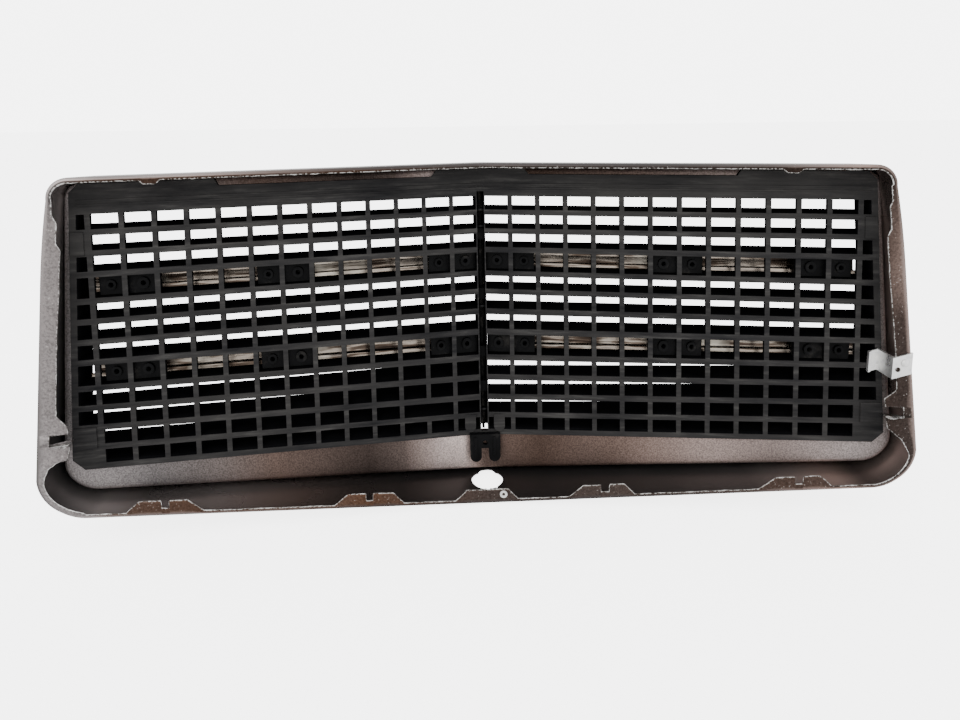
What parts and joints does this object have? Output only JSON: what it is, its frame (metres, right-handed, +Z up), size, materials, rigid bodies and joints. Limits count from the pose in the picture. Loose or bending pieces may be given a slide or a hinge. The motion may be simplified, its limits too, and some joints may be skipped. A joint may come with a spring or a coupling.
{
  "type": "front grille",
  "caption": "Car radiator grille seen from behind: a V-swept metal surround with a turned rear flange, holding a black lattice insert with bright strips.",
  "frame": {"origin": "centre of the bounding box's bottom face; the grille stands on the middle of its deep rim, as pictured, which is its upper rim once it is in a car", "axes": "+Z up from the deep rim to the shallow rim, +X to the right when the back is looked at, +Y forward towards the show side"},
  "size_m": [0.6666, 0.1598, 0.2657],
  "materials": {
    "satin_metal": "satin, dusty on the inside",
    "black_plastic": "matte moulded plastic",
    "chrome": "bright plated",
    "clip_plastic": "matte moulded plastic",
    "zinc": "bright zinc plate"
  },
  "bodies": {
    "root": {"surround_shell": "satin_metal", "grille_insert": "black_plastic", "moulding_upper_left": "chrome", "clip_upper_left_1": "clip_plastic", "clip_upper_left_2": "clip_plastic", "clip_upper_left_3": "clip_plastic", "moulding_upper_right": "chrome", "clip_upper_right_1": "clip_plastic", "clip_upper_right_2": "clip_plastic", "clip_upper_right_3": "clip_plastic", "moulding_lower_left": "chrome", "clip_lower_left_1": "clip_plastic", "clip_lower_left_2": "clip_plastic", "clip_lower_left_3": "clip_plastic", "moulding_lower_right": "chrome", "clip_lower_right_1": "clip_plastic", "clip_lower_right_2": "clip_plastic", "clip_lower_right_3": "clip_plastic", "moulding_centre": "chrome", "slot_clip_1": "clip_plastic", "slot_clip_2": "clip_plastic", "slot_clip_3": "clip_plastic", "slot_clip_4": "clip_plastic", "centre_clip": "clip_plastic", "side_strap": "zinc", "strap_rivet": "zinc", "tab_nut": "zinc"}
  },
  "joints": []
}
